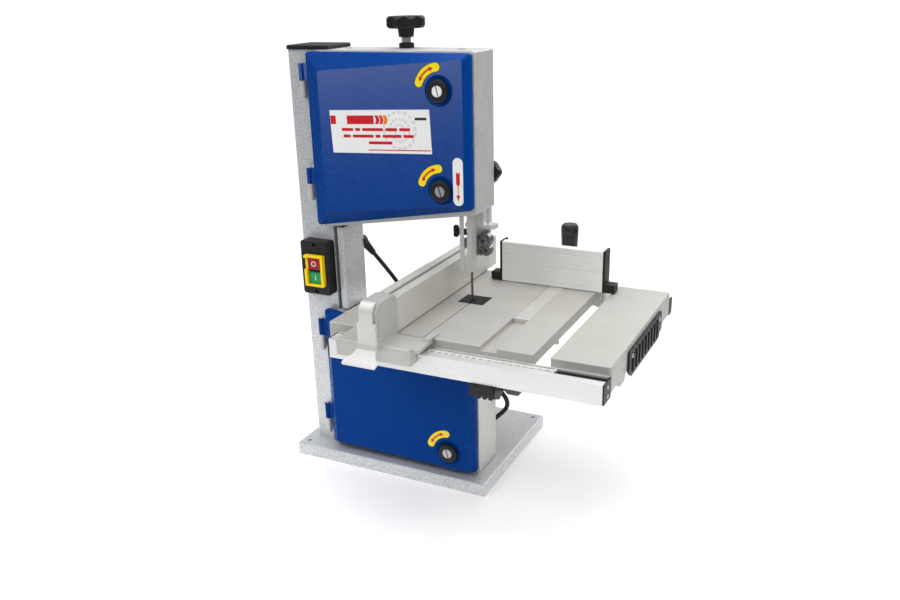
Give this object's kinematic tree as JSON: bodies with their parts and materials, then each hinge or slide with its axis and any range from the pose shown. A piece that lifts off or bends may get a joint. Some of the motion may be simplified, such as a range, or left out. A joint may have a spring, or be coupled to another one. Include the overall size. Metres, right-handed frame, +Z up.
{
  "type": "band saw",
  "caption": "Bench band saw: two wheel housings on a sheet column, hinged doors, a sliding upper blade guide, and a tilting table with rip fence, mitre gauge and pull-out extension.",
  "frame": {"origin": "centre of the base plate's underside", "axes": "+Z up, +X from the column towards the extension table, -Y towards the operator, who faces the doors"},
  "size_m": [0.5595, 0.4745, 0.692],
  "materials": {
    "galvanised": "galvanised sheet",
    "hammered": "hammered silver paint",
    "blue": "gloss powder coat",
    "black": "moulded",
    "black_gloss": "polished",
    "yellow": "moulded",
    "red": "moulded",
    "green": "moulded",
    "steel": "machined",
    "blade_steel": "ground",
    "cast_alu": "die cast",
    "table": "satin lacquered casting",
    "extrusion": "anodised extrusion",
    "tyre": "wheel tyre",
    "motor": "enamel",
    "cord": "cable sheath"
  },
  "bodies": {
    "frame": {"base_plate": "hammered", "column": "hammered", "column_cap": "black", "upper_housing": "galvanised", "lower_housing": "galvanised", "hinge_brackets": "galvanised", "switch_box": "black", "switch_surround": "yellow", "blade": "blade_steel", "tension_bush": "black", "lower_bearing": "steel", "drive_belt": "tyre", "motor": "motor", "dust_port": "black", "cables": "cord", "lower_guide": "galvanised", "trunnion_bracket": "galvanised"},
    "upper_door": {"upper_door": "blue"},
    "lower_door": {"lower_door": "blue"},
    "top_lock": {"top_lock": "black"},
    "middle_lock": {"middle_lock": "black"},
    "lower_lock": {"lower_lock": "black"},
    "stop_button": {"stop_button": "red"},
    "start_button": {"start_button": "green"},
    "tension_knob": {"tension_knob": "black"},
    "carriage": {"carriage": "galvanised", "tension_spring": "steel"},
    "axle_block": {"axle_block": "steel"},
    "upper_wheel": {"upper_wheel": "cast_alu", "upper_tyre": "tyre"},
    "tracking_knob": {"tracking_knob": "black"},
    "lower_wheel": {"lower_wheel": "cast_alu", "lower_tyre": "tyre", "lower_spindle": "steel"},
    "motor_pulley": {"motor_pulley": "steel"},
    "guide": {"guide_post": "extrusion", "blade_guard": "galvanised", "guide_rollers": "steel"},
    "guide_lock_knob": {"guide_lock_knob": "black"},
    "guide_adjust_knob": {"guide_adjust_knob": "black"},
    "table": {"table": "table", "table_insert": "black", "table_trunnion": "galvanised", "extension_clamp": "black"},
    "tilt_lock_knob": {"tilt_lock_knob": "black"},
    "extension": {"extension_table": "table", "extension_grip": "black", "extension_rails": "extrusion", "rail_end_caps": "black", "scale_strip": "extrusion"},
    "extension_lock_lever": {"extension_lock_lever": "black"},
    "fence": {"fence_profile": "extrusion", "fence_head": "cast_alu", "fence_screws": "steel"},
    "fence_lever": {"fence_lever": "cast_alu"},
    "mitre_bar": {"mitre_bar": "steel"},
    "mitre_head": {"mitre_head": "cast_alu", "mitre_fence": "extrusion", "mitre_end_caps": "black"},
    "mitre_handle": {"mitre_handle": "black_gloss"}
  },
  "joints": [
    {"name": "upper_door_hinge", "type": "hinge", "parent": "frame", "child": "upper_door", "pos_m": [-0.123, -0.1, 0.518], "axis": [0, 0, -1], "range_deg": [0, 120]},
    {"name": "lower_door_hinge", "type": "hinge", "parent": "frame", "child": "lower_door", "pos_m": [-0.123, -0.1, 0.14], "axis": [0, 0, -1], "range_deg": [0, 110]},
    {"name": "top_lock_turn", "type": "hinge", "parent": "upper_door", "child": "top_lock", "pos_m": [0.1065, -0.118, 0.5995], "axis": [0, 1, 0], "range_deg": [0, 90]},
    {"name": "middle_lock_turn", "type": "hinge", "parent": "upper_door", "child": "middle_lock", "pos_m": [0.1065, -0.118, 0.4646], "axis": [0, 1, 0], "range_deg": [0, 90]},
    {"name": "lower_lock_turn", "type": "hinge", "parent": "lower_door", "child": "lower_lock", "pos_m": [0.1065, -0.118, 0.0575], "axis": [0, 1, 0], "range_deg": [0, 90]},
    {"name": "stop_button_press", "type": "slide", "parent": "frame", "child": "stop_button", "axis": [0, 1, 0], "range_m": [0, 0.003], "stiffness_N_per_m": 400},
    {"name": "start_button_press", "type": "slide", "parent": "frame", "child": "start_button", "axis": [0, 1, 0], "range_m": [0, 0.0025], "stiffness_N_per_m": 400},
    {"name": "tension_knob_turn", "type": "hinge", "parent": "frame", "child": "tension_knob", "pos_m": [0.02155, -0.046, 0.68], "axis": [0, 0, 1], "range_deg": [0, 2304]},
    {"name": "carriage_slide", "type": "slide", "parent": "frame", "child": "carriage", "axis": [0, 0, -1], "range_m": [0, 0.008], "deforming": ["tension_spring"]},
    {"name": "tracking_knob_turn", "type": "hinge", "parent": "frame", "child": "tracking_knob", "pos_m": [0.02155, -0.026, 0.502], "axis": [0, 1, 0], "range_deg": [0, 180]},
    {"name": "upper_wheel_tilt", "type": "hinge", "parent": "carriage", "child": "axle_block", "pos_m": [0.02155, -0.0468, 0.528], "axis": [1, 0, 0], "range_deg": [0, 1]},
    {"name": "upper_wheel_spin", "type": "hinge", "parent": "axle_block", "child": "upper_wheel", "pos_m": [0.02155, -0.0625, 0.528], "axis": [0, 1, 0], "continuous": true},
    {"name": "lower_wheel_spin", "type": "hinge", "parent": "frame", "child": "lower_wheel", "pos_m": [0.02155, -0.0625, 0.1275], "axis": [0, 1, 0], "continuous": true},
    {"name": "motor_spin", "type": "hinge", "parent": "frame", "child": "motor_pulley", "pos_m": [-0.058, -0.044, 0.112], "axis": [0, 1, 0], "continuous": true},
    {"name": "guide_slide", "type": "slide", "parent": "frame", "child": "guide", "axis": [0, 0, 1], "range_m": [-0.043, 0.022]},
    {"name": "guide_lock_turn", "type": "hinge", "parent": "frame", "child": "guide_lock_knob", "pos_m": [0.14, -0.0315, 0.476], "axis": [0, 1, 0], "range_deg": [0, 180]},
    {"name": "guide_adjust_turn", "type": "hinge", "parent": "guide", "child": "guide_adjust_knob", "pos_m": [0.091, -0.04, 0.387], "axis": [1, 0, 0], "range_deg": [-90, 90]},
    {"name": "table_tilt", "type": "hinge", "parent": "frame", "child": "table", "pos_m": [0.125, -0.065, 0.288], "axis": [0, 1, 0], "range_deg": [0, 20]},
    {"name": "tilt_lock_turn", "type": "hinge", "parent": "table", "child": "tilt_lock_knob", "pos_m": [0.125, -0.018, 0.212], "axis": [0, 1, 0], "range_deg": [0, 180]},
    {"name": "extension_slide", "type": "slide", "parent": "table", "child": "extension", "axis": [1, 0, 0], "range_m": [-0.0225, 0.023]},
    {"name": "extension_lock_lift", "type": "hinge", "parent": "table", "child": "extension_lock_lever", "pos_m": [0.24, -0.222, 0.24], "axis": [1, 0, 0], "range_deg": [0, 40]},
    {"name": "fence_slide", "type": "slide", "parent": "extension", "child": "fence", "axis": [-1, 0, 0], "range_m": [-0.022, 0.02]},
    {"name": "fence_lever_lift", "type": "hinge", "parent": "fence", "child": "fence_lever", "pos_m": [0.0716, -0.264, 0.334], "axis": [-1, 0, 0], "range_deg": [0, 60]},
    {"name": "mitre_slide", "type": "slide", "parent": "table", "child": "mitre_bar", "axis": [0, 1, 0], "range_m": [-0.06, 0.04]},
    {"name": "mitre_turn", "type": "hinge", "parent": "mitre_bar", "child": "mitre_head", "pos_m": [0.2196, 0.1, 0.29], "axis": [0, 0, 1], "range_deg": [-45, 45]},
    {"name": "mitre_handle_turn", "type": "hinge", "parent": "mitre_head", "child": "mitre_handle", "pos_m": [0.2196, 0.1, 0.33], "axis": [0, 0, 1], "range_deg": [0, 180]}
  ],
  "couplings": [
    {"joint": "tension_knob_turn", "follows": "carriage_slide", "rad_per_m": 5026.5},
    {"joint": "upper_wheel_tilt", "follows": "tracking_knob_turn", "ratio": 0.0055556},
    {"joint": "upper_wheel_spin", "follows": "lower_wheel_spin", "ratio": 1},
    {"joint": "motor_spin", "follows": "lower_wheel_spin", "ratio": 3}
  ]
}
